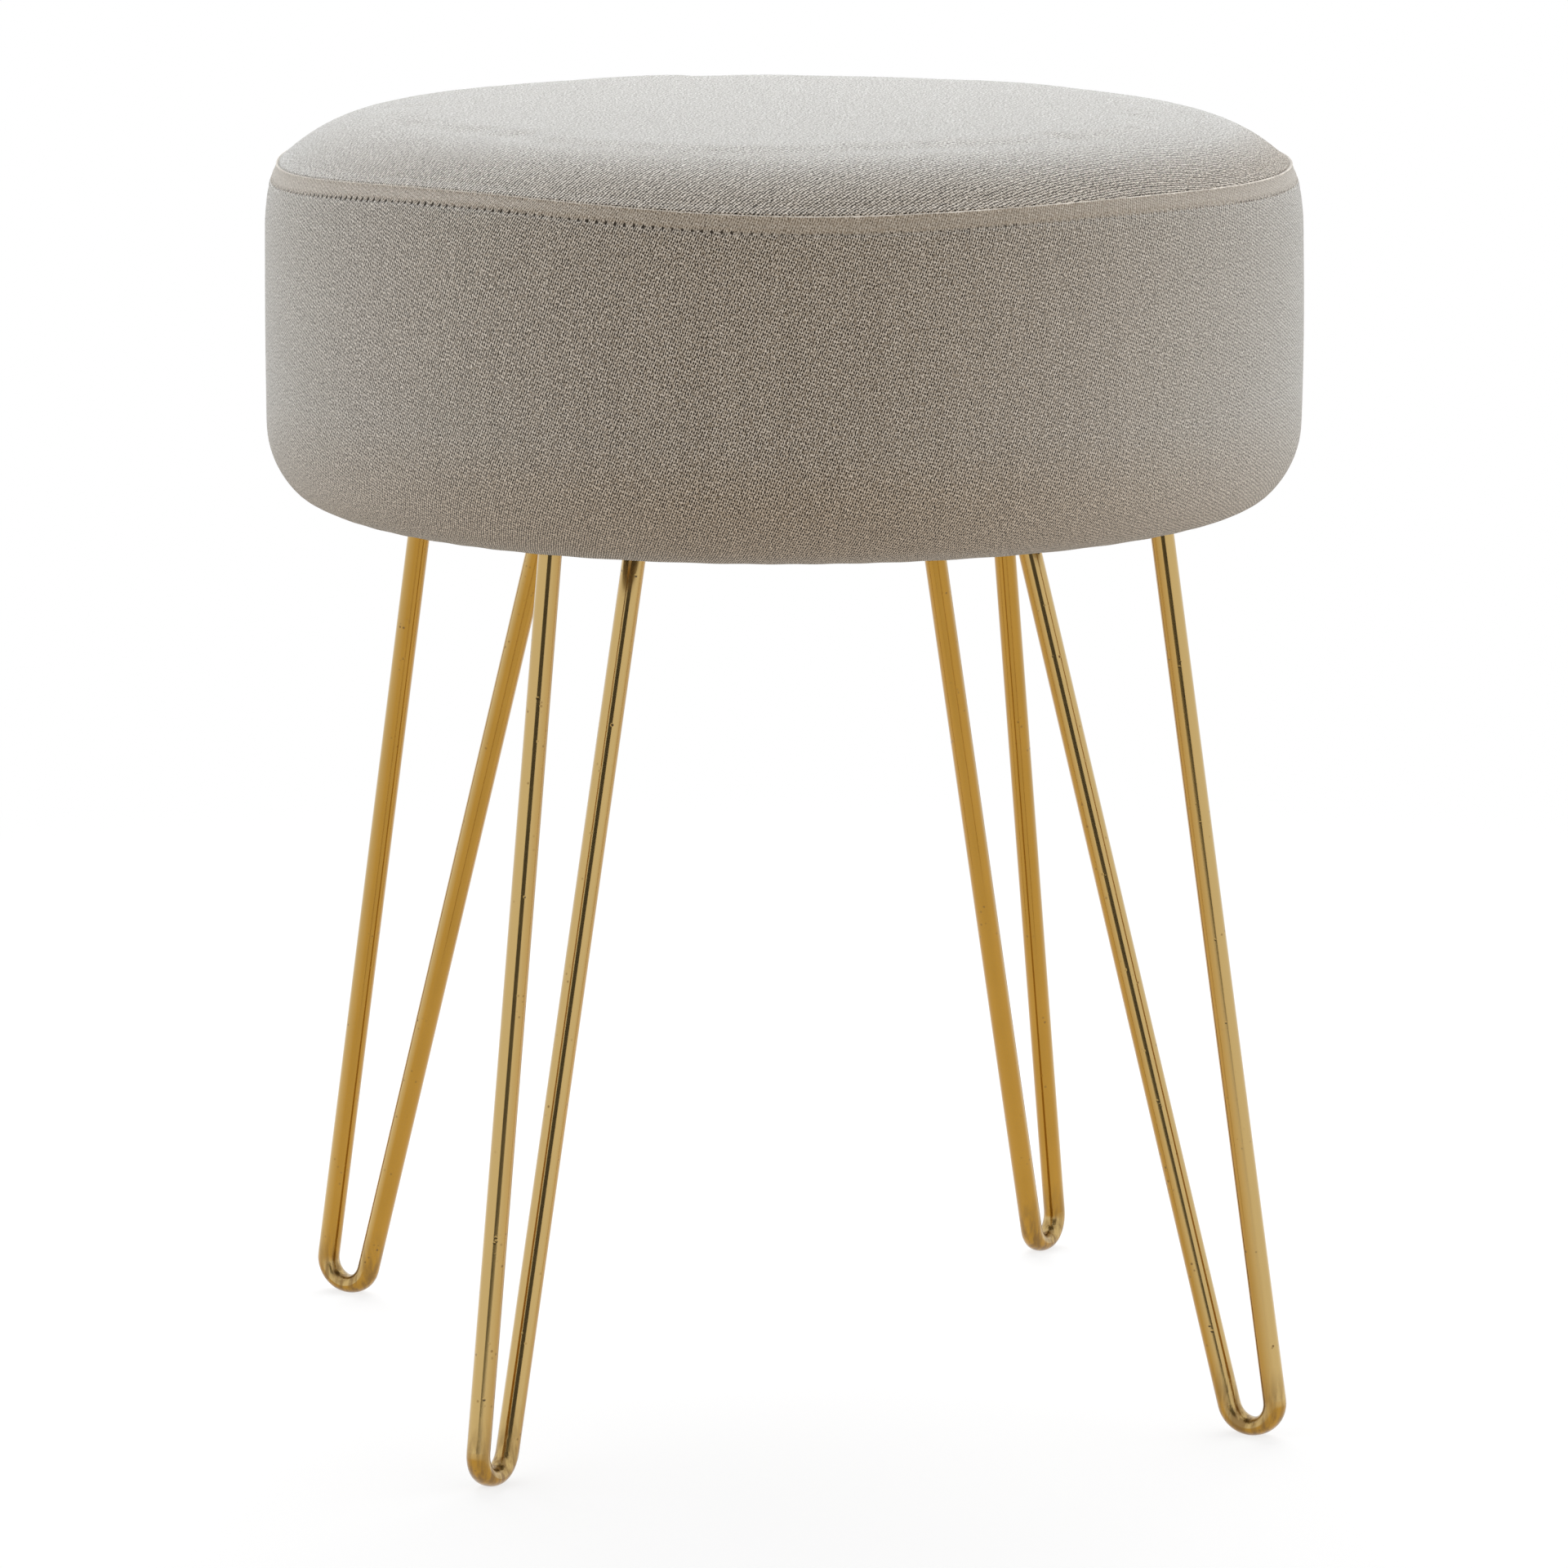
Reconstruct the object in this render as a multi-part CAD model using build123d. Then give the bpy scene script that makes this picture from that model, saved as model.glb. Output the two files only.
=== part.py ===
from build123d import *
import math
import os

# A round padded ottoman on four hairpin legs. Millimetres, floor at z = 0, +Z up.
# The seat's axis is Z, and the four legs stand on the X and Y axes.

# Outline of the seat
SEAT_DIAMETER = 360.0  # widest, half way up the side
LEG_HEIGHT = 313.0  # floor to the lowest cloth, at the padded bottom edge
BAND_HEIGHT = 116.0  # lowest cloth to the seam round the top
CROWN_RISE = 17.0  # seam to the middle of the top
CROWN_FLAT_DIAMETER = 272.0  # middle of the top, before the shoulder falls away
SEAM_INSET = 4.5  # how far the seam stands in from the widest line
SHOULDER_HEIGHT = 21.0  # stretch below the seam in which the side draws in
BOTTOM_EDGE_RADIUS = 12.0  # roll of the cloth under the seat
HEM_ANGLE = 45.0  # slope of the side where the roll begins, degrees from upright
LOWER_SWELL_RADIUS = 32.0  # arc between the roll and the upright side
LIP_FLAT = 0.6  # between the outer and the inner roll of the padded edge under the seat
LIP_DEPTH = 6.5  # that edge hangs this far below the base board and hides the leg plates
LIP_RADIUS = 4.0  # inner roll of that edge

# Cloth and stuffing
COVER_THICKNESS = 1.2
TUCK_DIAMETER = 140.0  # opening left where the band is drawn in under the seat
DUST_COVER_THICKNESS = 0.6
DUST_COVER_MARGIN = 0.7  # left between the dust cover and the padded edge
SEAT_FOAM_THICKNESS = 22.0
FOAM_BELOW_SEAM = 4.0  # seam to the flat top of the foam slab
SOFT_CLEARANCE = 0.3  # between the cover and what it holds

# Wooden drum inside the seat
SIDE_PADDING = 25.0  # widest line of the seat to the edge of the boards
BASE_BOARD_THICKNESS = 12.0
TOP_BOARD_THICKNESS = 12.0
HOOP_THICKNESS = 3.0
POST_WIDTH = 40.0
POST_INSET = 43.0  # edge of the boards to the middle of a post
POST_SCREW_OFFSET = 9.0  # upper and lower screws stand to either side of a post's middle
SCREW_DIAMETER = 4.5
SCREW_HEAD_DIAMETER = 9.0
SCREW_LENGTH = 40.0
FIT_CLEARANCE = 0.2

# Hairpin legs
LEG_HEADINGS = {"right": 0.0, "back": 90.0, "left": 180.0, "front": 270.0}
ROD_DIAMETER = 8.0
ROD_SPREAD = 55.0  # between the two rods of a leg, where they meet their plate
FOOT_SPLAY = 8.0  # middle of the bend stands this far outside the widest line of the seat
BEND_RADIUS = 9.0  # of the rod's middle line
BEND_THICKNESS = 6.4  # the bend is pressed thinner than the rod
BEND_WIDTH = 8.8
FOOT_FLAT = 0.3  # worn off the lowest point, to stand on
PLATE_THICKNESS = 3.0
PLATE_MARGIN = 7.5  # plate left round each rod and bolt
PLATE_CLEARANCE = 1.0  # between the plate and the padded edge
WELD_LEG = 2.5

# Fasteners of the legs
INNER_BOLT_OFFSET = 13.0  # from the inner rod to the pair of bolts beside it
INNER_BOLT_SPREAD = 26.0
OUTER_BOLT_OFFSET = 18.0  # from the outer rod to the single bolt
BOLT_DIAMETER = 6.0
BOLT_LENGTH = 18.0
BOLT_HEAD_DIAMETER = 10.5
BOLT_HEAD_HEIGHT = 3.3
SOCKET_ACROSS_FLATS = 4.0
SOCKET_DEPTH = 2.0
BOLT_CLEARANCE = 0.3
THREAD_CLEARANCE = 0.05
WASHER_DIAMETER = 12.5
WASHER_THICKNESS = 1.2
TEE_FLANGE_DIAMETER = 19.0
TEE_FLANGE_THICKNESS = 1.5
TEE_BARREL_DIAMETER = 7.8
TEE_BARREL_LENGTH = 9.0

# Levels, from the floor up
cloth_z = LEG_HEIGHT + LIP_DEPTH
dust_z = cloth_z - DUST_COVER_THICKNESS
board_z = cloth_z + COVER_THICKNESS
base_top_z = board_z + BASE_BOARD_THICKNESS
seam_z = LEG_HEIGHT + BAND_HEIGHT
crown_z = seam_z + CROWN_RISE
foam_top_z = seam_z - FOAM_BELOW_SEAM
frame_top_z = foam_top_z - SEAT_FOAM_THICKNESS
top_board_z = frame_top_z - TOP_BOARD_THICKNESS
plate_z = dust_z - PLATE_THICKNESS
washer_z = plate_z - WASHER_THICKNESS

seat_radius = SEAT_DIAMETER / 2
frame_radius = seat_radius - SIDE_PADDING
hoop_radius = frame_radius + FIT_CLEARANCE
post_radius = frame_radius - POST_INSET
tuck_radius = TUCK_DIAMETER / 2
roll_reach = (LOWER_SWELL_RADIUS - BOTTOM_EDGE_RADIUS) * math.cos(math.radians(HEM_ANGLE))
lip_radius = seat_radius - LOWER_SWELL_RADIUS + roll_reach - LIP_FLAT - LIP_RADIUS
outer_rod_radius = lip_radius - PLATE_CLEARANCE - PLATE_MARGIN
inner_rod_radius = outer_rod_radius - ROD_SPREAD
foot_radius = seat_radius + FOOT_SPLAY
bolt_hole_radius = BOLT_DIAMETER / 2 + BOLT_CLEARANCE
bolt_spots = [
    (inner_rod_radius + INNER_BOLT_OFFSET, INNER_BOLT_SPREAD / 2),
    (inner_rod_radius + INNER_BOLT_OFFSET, -INNER_BOLT_SPREAD / 2),
    (outer_rod_radius - OUTER_BOLT_OFFSET, 0.0),
]


def on_circle(centre, radius, degrees):
    """Point of a circle in the (radius, height) half plane."""
    turn = math.radians(degrees)
    return (centre[0] + radius * math.cos(turn), centre[1] + radius * math.sin(turn))


def upper_meeting(centre_a, radius_a, centre_b, radius_b):
    """Upper outer point where two circles of the half plane cross."""
    across = centre_b[0] - centre_a[0]
    along = centre_b[1] - centre_a[1]
    apart = math.hypot(across, along)
    reach = (apart**2 + radius_a**2 - radius_b**2) / (2 * apart)
    half_chord = math.sqrt(radius_a**2 - reach**2)
    middle = (centre_a[0] + reach * across / apart, centre_a[1] + reach * along / apart)
    shift = (half_chord * along / apart, -half_chord * across / apart)
    ends = [(middle[0] + sign * shift[0], middle[1] + sign * shift[1]) for sign in (1, -1)]
    return max(ends)


def angle_of(centre, point):
    """Direction from a circle's centre to a point, in degrees."""
    return math.degrees(math.atan2(point[1] - centre[1], point[0] - centre[0]))


# Arc centres of the seat's outline, each with the radius of its arc
roll_height = BOTTOM_EDGE_RADIUS * (1 - math.sin(math.radians(HEM_ANGLE)))
swell_z = LEG_HEIGHT + roll_height + LOWER_SWELL_RADIUS * math.sin(math.radians(HEM_ANGLE))
swell_centre = (seat_radius - LOWER_SWELL_RADIUS, swell_z)
roll_centre = on_circle(swell_centre, LOWER_SWELL_RADIUS - BOTTOM_EDGE_RADIUS, -HEM_ANGLE)
shoulder_radius = (SHOULDER_HEIGHT**2 + SEAM_INSET**2) / (2 * SEAM_INSET)
shoulder_centre = (seat_radius - shoulder_radius, seam_z - SHOULDER_HEIGHT)
crown_reach = seat_radius - SEAM_INSET - CROWN_FLAT_DIAMETER / 2
crown_radius = (crown_reach**2 + CROWN_RISE**2) / (2 * CROWN_RISE)
crown_centre = (CROWN_FLAT_DIAMETER / 2, crown_z - crown_radius)
lip_centre = (lip_radius + LIP_RADIUS, LEG_HEIGHT + LIP_RADIUS)


def seam_point(inset):
    """Where the top panel and the side band meet, on a face inset from the outside."""
    return upper_meeting(shoulder_centre, shoulder_radius - inset, crown_centre, crown_radius - inset)


def seat_outline(inset):
    """Half section of the seat, inset evenly from the outside of the cover."""
    seam = seam_point(inset)
    seam_angle = angle_of(shoulder_centre, seam)
    crown_start = angle_of(crown_centre, seam)
    side = seat_radius - inset
    under = cloth_z + inset
    lowest = LEG_HEIGHT + inset
    lip = lip_radius + inset
    top = crown_z - inset
    return make_face(
        [
            Polyline((0, under), (lip, under), (lip, lip_centre[1])),
            CenterArc(lip_centre, LIP_RADIUS - inset, 180, 90),
            Line((lip_centre[0], lowest), (roll_centre[0], lowest)),
            CenterArc(roll_centre, BOTTOM_EDGE_RADIUS - inset, 270, 90 - HEM_ANGLE),
            CenterArc(swell_centre, LOWER_SWELL_RADIUS - inset, -HEM_ANGLE, HEM_ANGLE),
            Line((side, swell_centre[1]), (side, shoulder_centre[1])),
            CenterArc(shoulder_centre, shoulder_radius - inset, 0, seam_angle),
            CenterArc(crown_centre, crown_radius - inset, crown_start, 90 - crown_start),
            Line((crown_centre[0], top), (0, top)),
            Line((0, top), (0, under)),
        ]
    )


def section(low_radius, low_z, high_radius, high_z):
    """Rectangle of the (radius, height) half plane."""
    middle = Pos((low_radius + high_radius) / 2, (low_z + high_z) / 2)
    return middle * Rectangle(high_radius - low_radius, high_z - low_z)


def turned(profile):
    """Solid turned round the seat's axis from a half section."""
    return revolve(Plane.XZ * profile, Axis.Z)


def upright(radius, low_z, high_z, spot=(0.0, 0.0)):
    """Upright round bar between two levels."""
    bar = Cylinder(radius, high_z - low_z, align=(Align.CENTER, Align.CENTER, Align.MIN))
    return Pos(spot[0], spot[1], low_z) * bar


def about_axis(shape, heading):
    """Copy of a shape turned round the seat's axis."""
    return Rot(0, 0, heading) * shape


def at_bolts(shape):
    """Three copies of a shape made on the axis, at the bolts of the leg on +X."""
    return [Pos(spot[0], spot[1], 0) * shape for spot in bolt_spots]


def bolt_holes(radius, low_z, high_z):
    """Bars that cut the bolt holes of all four legs."""
    bar = upright(radius, low_z, high_z)
    return [about_axis(hole, heading) for heading in LEG_HEADINGS.values() for hole in at_bolts(bar)]


# Cover: one thin skin, parted along the mitre of its seam, and drawn in under the base board
def cover_skin():
    return seat_outline(0.0) - seat_outline(COVER_THICKNESS)


def above_seam():
    """Region of the half plane above the mitred seam."""
    outer = seam_point(0.0)
    inner = seam_point(COVER_THICKNESS)
    run = (outer[0] - inner[0], outer[1] - inner[1])
    far_out = (outer[0] + run[0], outer[1] + run[1])
    far_in = (inner[0] - run[0], inner[1] - run[1])
    over = crown_z + CROWN_RISE
    corners = [far_out, (far_out[0], over), (0, over), (0, far_in[1]), far_in]
    return make_face(Polyline(*corners, close=True))


def top_panel():
    return turned(cover_skin() & above_seam())


def side_band():
    opening = section(0.0, cloth_z - COVER_THICKNESS, tuck_radius, board_z + COVER_THICKNESS)
    band = turned(cover_skin() - above_seam() - opening)
    return band - bolt_holes(bolt_hole_radius, dust_z, base_top_z)


# Stuffing: everything inside the cover, parted by level and by the wooden drum
def stuffing(low_radius, low_z, high_z):
    inside = seat_outline(COVER_THICKNESS + SOFT_CLEARANCE)
    return turned(inside & section(low_radius, low_z, SEAT_DIAMETER, high_z))


def wadding():
    return stuffing(0.0, foam_top_z, crown_z)


def seat_foam():
    return stuffing(0.0, frame_top_z, foam_top_z)


def side_foam():
    return stuffing(hoop_radius + HOOP_THICKNESS + FIT_CLEARANCE, LEG_HEIGHT, frame_top_z)


# Dust cover: lies on the drawn-in band, and steps up to the base board inside its opening
def dust_cover():
    step = tuck_radius - SOFT_CLEARANCE
    lap = section(step - DUST_COVER_THICKNESS, dust_z, lip_radius - DUST_COVER_MARGIN, cloth_z)
    wall = section(step - DUST_COVER_THICKNESS, dust_z, step, board_z)
    middle = section(0.0, board_z - DUST_COVER_THICKNESS, step, board_z)
    return turned(lap + wall + middle) - bolt_holes(bolt_hole_radius, dust_z, base_top_z)


# Wooden drum: two boards held apart by posts, with a hoop bent round their edges
def post_spots(side):
    """Screw spots of the four posts, which stand between the legs."""
    spots = []
    for heading in LEG_HEADINGS.values():
        turn = math.radians(heading + 45)
        reach = (post_radius, side * POST_SCREW_OFFSET)
        x = reach[0] * math.cos(turn) - reach[1] * math.sin(turn)
        y = reach[0] * math.sin(turn) + reach[1] * math.cos(turn)
        spots.append((x, y))
    return spots


def wood_screw(gap):
    """Countersunk screw pointing up from z = 0, swelled by a gap to cut its own hole."""
    shank = SCREW_DIAMETER / 2 + gap
    head = SCREW_HEAD_DIAMETER / 2 + gap
    tip = SCREW_LENGTH + gap
    corners = [(0, 0), (head, 0), (shank, head - shank), (shank, tip), (0, tip)]
    return turned(make_face(Polyline(*corners, close=True)))


def lower_screws(gap):
    return [Pos(x, y, board_z) * wood_screw(gap) for x, y in post_spots(1)]


def upper_screws(gap):
    return [Pos(x, y, frame_top_z) * Rot(180, 0, 0) * wood_screw(gap) for x, y in post_spots(-1)]


def base_board():
    board = upright(frame_radius, board_z, base_top_z)
    barrels = bolt_holes(TEE_BARREL_DIAMETER / 2 + FIT_CLEARANCE, dust_z, base_top_z)
    return board - barrels - lower_screws(FIT_CLEARANCE)


def top_board():
    return upright(frame_radius, top_board_z, frame_top_z) - upper_screws(FIT_CLEARANCE)


def frame_hoop():
    return turned(section(hoop_radius, board_z, hoop_radius + HOOP_THICKNESS, frame_top_z))


def frame_post(heading):
    length = top_board_z - base_top_z
    block = Pos(post_radius, 0, base_top_z + length / 2) * Box(POST_WIDTH, POST_WIDTH, length)
    return about_axis(block, heading + 45) - lower_screws(FIT_CLEARANCE) - upper_screws(FIT_CLEARANCE)


# Hairpin leg, made on +X in its upright plane
bend_z = BEND_RADIUS + BEND_THICKNESS / 2 - FOOT_FLAT
bend_centre = (foot_radius, bend_z)


def touch_angle(top_radius, side):
    """Direction from the bend's middle to where a straight rod runs into the bend, in degrees."""
    top = (top_radius, plate_z)
    away = math.hypot(top[0] - bend_centre[0], top[1] - bend_centre[1])
    return angle_of(bend_centre, top) - side * math.degrees(math.acos(BEND_RADIUS / away))


def straight_rod(top_radius, side):
    """One rod from its bend up past the plate's underside."""
    touch = on_circle(bend_centre, BEND_RADIUS, touch_angle(top_radius, side))
    start = Vector(touch[0], 0, touch[1])
    rise = Vector(top_radius, 0, plate_z) - start
    length = rise.length + ROD_DIAMETER
    bar = Cylinder(ROD_DIAMETER / 2, length, align=(Align.CENTER, Align.CENTER, Align.MIN))
    return Plane(start, z_dir=rise) * bar


def bend_section(degrees, flatness):
    """Section across the bend: round at its ends, pressed wide and thin at its foot."""
    spot = on_circle(bend_centre, BEND_RADIUS, degrees)
    outward = Vector(spot[0] - bend_centre[0], 0, spot[1] - bend_centre[1])
    across = outward.cross(Vector(0, 1, 0))
    half_thick = (ROD_DIAMETER + flatness * (BEND_THICKNESS - ROD_DIAMETER)) / 2
    half_wide = (ROD_DIAMETER + flatness * (BEND_WIDTH - ROD_DIAMETER)) / 2
    return Plane((spot[0], 0, spot[1]), x_dir=(0, 1, 0), z_dir=across) * Ellipse(half_wide, half_thick)


def foot_bend():
    start = touch_angle(inner_rod_radius, -1) - 360
    end = touch_angle(outer_rod_radius, 1)
    sections = []
    for step in range(9):
        share = step / 8
        flatness = math.sin(math.pi * share) ** 2
        sections.append(bend_section(start + (end - start) * share, flatness))
    return loft(sections)


def hairpin_rod():
    rod = straight_rod(outer_rod_radius, 1) + foot_bend() + straight_rod(inner_rod_radius, -1)
    stand = Pos(0, 0, plate_z / 2) * Box(4 * foot_radius, 4 * ROD_DIAMETER, plate_z)
    return rod & stand


def leg_plate():
    rims = [Pos(outer_rod_radius, 0) * Circle(PLATE_MARGIN), Pos(inner_rod_radius, 0) * Circle(PLATE_MARGIN)]
    rims += [Pos(*spot) * Circle(PLATE_MARGIN) for spot in bolt_spots]
    outline = make_hull([rim.edge() for rim in rims])
    plate = Pos(0, 0, plate_z) * extrude(outline, PLATE_THICKNESS)
    return plate - at_bolts(upright(bolt_hole_radius, plate_z, dust_z))


def weld_bead(top_radius, side):
    """Bead round one rod, tapering from the plate's underside down the rod."""
    rod = straight_rod(top_radius, side)
    touch = on_circle(bend_centre, BEND_RADIUS, touch_angle(top_radius, side))
    top = Vector(top_radius, 0, plate_z)
    down = Vector(touch[0], 0, touch[1]) - top
    foot = ROD_DIAMETER / 2 + WELD_LEG
    reach = 2 * WELD_LEG
    cone = Cone(foot + WELD_LEG, foot - WELD_LEG, reach)
    bead = Plane(top, z_dir=down) * cone
    under = Pos(top_radius, 0, plate_z - reach / 2) * Box(4 * foot, 4 * foot, reach)
    return (bead & under) - rod


def leg_welds():
    return [weld_bead(outer_rod_radius, 1), weld_bead(inner_rod_radius, -1)]


# Fasteners of the leg on +X, each made on the axis and set at the bolts
def leg_bolt():
    head_z = washer_z - BOLT_HEAD_HEIGHT
    rim = (BOLT_HEAD_DIAMETER / 2, washer_z)
    crest = (BOLT_HEAD_DIAMETER / 4, head_z)
    dome = TangentArc(rim, crest, tangent=(0, -1))
    rest = Polyline(rim, (0, washer_z), (0, head_z), crest)
    head = turned(make_face([dome, rest]))
    socket = extrude(RegularPolygon(SOCKET_ACROSS_FLATS / 2, 6, major_radius=False), SOCKET_DEPTH)
    shank = upright(BOLT_DIAMETER / 2, washer_z, washer_z + BOLT_LENGTH)
    return head + shank - Pos(0, 0, head_z) * socket


def leg_washer():
    return turned(section(bolt_hole_radius, washer_z, WASHER_DIAMETER / 2, plate_z))


def tee_nut():
    bore = BOLT_DIAMETER / 2 + THREAD_CLEARANCE
    flange = section(bore, base_top_z, TEE_FLANGE_DIAMETER / 2, base_top_z + TEE_FLANGE_THICKNESS)
    barrel = section(bore, base_top_z - TEE_BARREL_LENGTH, TEE_BARREL_DIAMETER / 2, base_top_z)
    return turned(flange + barrel)


# All pieces by name, each leg's turned to its own place
pieces = {
    "top_panel": [top_panel()],
    "side_band": [side_band()],
    "wadding": [wadding()],
    "seat_foam": [seat_foam()],
    "side_foam": [side_foam()],
    "dust_cover": [dust_cover()],
    "base_board": [base_board()],
    "top_board": [top_board()],
    "frame_hoop": [frame_hoop()],
    "post_screws_lower": lower_screws(0.0),
    "post_screws_upper": upper_screws(0.0),
}
leg_pieces = {
    "hairpin_rod": [hairpin_rod()],
    "leg_plate": [leg_plate()],
    "leg_welds": leg_welds(),
    "leg_bolts": at_bolts(leg_bolt()),
    "leg_washers": at_bolts(leg_washer()),
    "tee_nuts": at_bolts(tee_nut()),
}
for side, heading in LEG_HEADINGS.items():
    pieces[f"frame_post_{side}"] = [frame_post(heading)]
    for name, shapes in leg_pieces.items():
        pieces[f"{name}_{side}"] = [about_axis(shape, heading) for shape in shapes]

os.makedirs("parts", exist_ok=True)
for name, shapes in pieces.items():
    solids = [solid for shape in shapes for solid in shape.solids()]
    export_step(solids[0] if len(solids) == 1 else Compound(children=solids), f"parts/{name}.step")
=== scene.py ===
import bpy
import math
import numpy as np
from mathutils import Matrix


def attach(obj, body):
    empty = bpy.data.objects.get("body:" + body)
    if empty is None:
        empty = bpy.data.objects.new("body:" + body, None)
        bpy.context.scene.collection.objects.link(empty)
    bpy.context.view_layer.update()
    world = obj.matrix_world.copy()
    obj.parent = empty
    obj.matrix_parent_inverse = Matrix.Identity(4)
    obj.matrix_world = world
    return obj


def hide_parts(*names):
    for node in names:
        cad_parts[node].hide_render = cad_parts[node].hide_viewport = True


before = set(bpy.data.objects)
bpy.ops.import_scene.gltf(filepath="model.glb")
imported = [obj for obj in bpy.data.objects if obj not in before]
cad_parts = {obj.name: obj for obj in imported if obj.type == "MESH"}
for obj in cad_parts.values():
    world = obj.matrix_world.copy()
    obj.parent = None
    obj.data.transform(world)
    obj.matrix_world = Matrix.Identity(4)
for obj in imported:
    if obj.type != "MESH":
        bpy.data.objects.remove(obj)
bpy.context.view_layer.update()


# Wooden drum inside the seat: two round birch plywood boards, four pine posts screwed between them,
# and a thin fibreboard hoop bent round their edges. All of it is hidden by the stuffing and the cover.
LEG_SIDES = ("right", "back", "left", "front")


def feed(tree, node, sockets):
    """Sets a node's sockets: an output is linked to its socket, any other value is set on the socket."""
    for name, value in sockets.items():
        if isinstance(value, bpy.types.NodeSocket):
            tree.links.new(value, node.inputs[name])
        else:
            node.inputs[name].default_value = value


def put(tree, kind, sockets, **settings):
    """Adds a node with its settings and its sockets."""
    node = tree.nodes.new(kind)
    for name, value in settings.items():
        setattr(node, name, value)
    feed(tree, node, sockets)
    return node


def material_of(name, coordinate="Object"):
    """New node material. Returns it with its tree, its shader and the coordinate that its patterns lie on."""
    material = bpy.data.materials.new(name)
    material.use_nodes = True
    tree = material.node_tree
    place = put(tree, "ShaderNodeTexCoord", {}).outputs[coordinate]
    return material, tree, tree.nodes["Principled BSDF"], place


def noise(tree, place, scale, detail=2.0, distortion=0.0):
    """Clouded noise of a scale per metre; returns its value."""
    sockets = {"Vector": place, "Scale": scale, "Detail": detail, "Distortion": distortion}
    return put(tree, "ShaderNodeTexNoise", sockets).outputs["Fac"]


def stretched(tree, place, scale):
    """Coordinate with each axis multiplied by its own scale."""
    return put(tree, "ShaderNodeMapping", {"Vector": place, "Scale": scale}).outputs["Vector"]


def mix(tree, share, first, second, blend_type="MIX"):
    """Colour from first, at a share of 0, to second, at a share of 1. A plain one is red, green, blue."""
    ends = [end if isinstance(end, bpy.types.NodeSocket) else (*end, 1.0) for end in (first, second)]
    sockets = {"Fac": share, "Color1": ends[0], "Color2": ends[1]}
    return put(tree, "ShaderNodeMixRGB", sockets, blend_type=blend_type).outputs["Color"]


def relief(tree, height, strength, depth, **settings):
    """Bump of a height, its depth in metres; returns the normal."""
    sockets = {"Height": height, "Strength": strength, "Distance": depth}
    return put(tree, "ShaderNodeBump", sockets, **settings).outputs["Normal"]


def coat(nodes, material):
    """Gives CAD nodes a material."""
    for name in nodes:
        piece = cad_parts[name]
        piece.data.materials.clear()
        piece.data.materials.append(material)


def wood(name, light, dark, stretch, rough):
    """Sawn wood: noise drawn out along the grain, dark streaks in a lighter ground."""
    material, tree, surface, place = material_of(name)
    streak = noise(tree, stretched(tree, place, stretch), 6.0, detail=8.0, distortion=0.6)
    feed(tree, surface, {
        "Base Color": mix(tree, streak, dark, light),
        "Normal": relief(tree, streak, strength=0.25, depth=0.0004),
        "Roughness": rough,
    })
    return material


plywood = wood(
    "birch_plywood", light=(0.68, 0.50, 0.30), dark=(0.42, 0.27, 0.13),
    stretch=(2.0, 14.0, 160.0), rough=0.62,
)
pine = wood(
    "pine", light=(0.76, 0.54, 0.29), dark=(0.52, 0.31, 0.13),
    stretch=(16.0, 16.0, 2.0), rough=0.58,
)
fibreboard = wood(
    "fibreboard", light=(0.24, 0.14, 0.07), dark=(0.13, 0.07, 0.03),
    stretch=(60.0, 60.0, 60.0), rough=0.70,
)
coat(["base_board", "top_board"], plywood)
coat([f"frame_post_{side}" for side in LEG_SIDES], pine)
coat(["frame_hoop"], fibreboard)


# Zinc plated steel of the wood screws, and further down of the bolts, washers, tee nuts and staples.
# The plating is faintly cloudy, so its roughness and tint drift.
def ramp(tree, value, low, high, start=0.0, end=1.0, **settings):
    """Value carried from the range low to high over to the range start to end, and held at its ends."""
    sockets = {"Value": value, "From Min": low, "From Max": high, "To Min": start, "To Max": end}
    return put(tree, "ShaderNodeMapRange", sockets, **settings).outputs["Result"]


zinc, tree, surface, place = material_of("zinc_steel")
cloud = noise(tree, place, 260.0, detail=3.0)
feed(tree, surface, {
    "Base Color": mix(tree, cloud, (0.46, 0.47, 0.46), (0.62, 0.61, 0.57)),
    "Roughness": ramp(tree, cloud, 0.0, 1.0, 0.26, 0.44),
    "Metallic": 1.0,
})
coat(["post_screws_lower", "post_screws_upper"], zinc)


# Stuffing: polyurethane foam round the drum and on its lid, and a crown of polyester wadding.
# Foam is cut from a block and glued on, with open pores; wadding is a mat of loose fibres.
def cells(tree, place, scale):
    """Distance to the middle of the nearest of many small cells, of a scale per metre."""
    return put(tree, "ShaderNodeTexVoronoi", {"Vector": place, "Scale": scale}).outputs["Distance"]


foam, tree, surface, place = material_of("polyurethane_foam")
pores = cells(tree, place, 900.0)
feed(tree, surface, {
    "Base Color": mix(tree, pores, (0.78, 0.66, 0.36), (0.86, 0.77, 0.50)),
    "Normal": relief(tree, pores, strength=0.5, depth=0.0005),
    "Roughness": 0.95,
})
coat(["seat_foam", "side_foam"], foam)

wadding, tree, surface, place = material_of("polyester_wadding")
fibres = noise(tree, place, 420.0, detail=6.0, distortion=2.5)
feed(tree, surface, {
    "Base Color": mix(tree, fibres, (0.74, 0.74, 0.72), (0.88, 0.88, 0.86)),
    "Normal": relief(tree, fibres, strength=0.6, depth=0.001),
    "Roughness": 0.95,
})
coat(["wadding"], wadding)


# Cover: a round top panel and a side band of one soft woven cloth, sewn edge to edge, topstitched below
# the seam, pulled down over the foam and drawn in under the base board. The half section is the CAD's own.
SEAT_TOP = 0.446
OUTLINE_STEP = 0.00025
STITCHES = 342
COLUMNS = 3 * STITCHES


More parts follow.
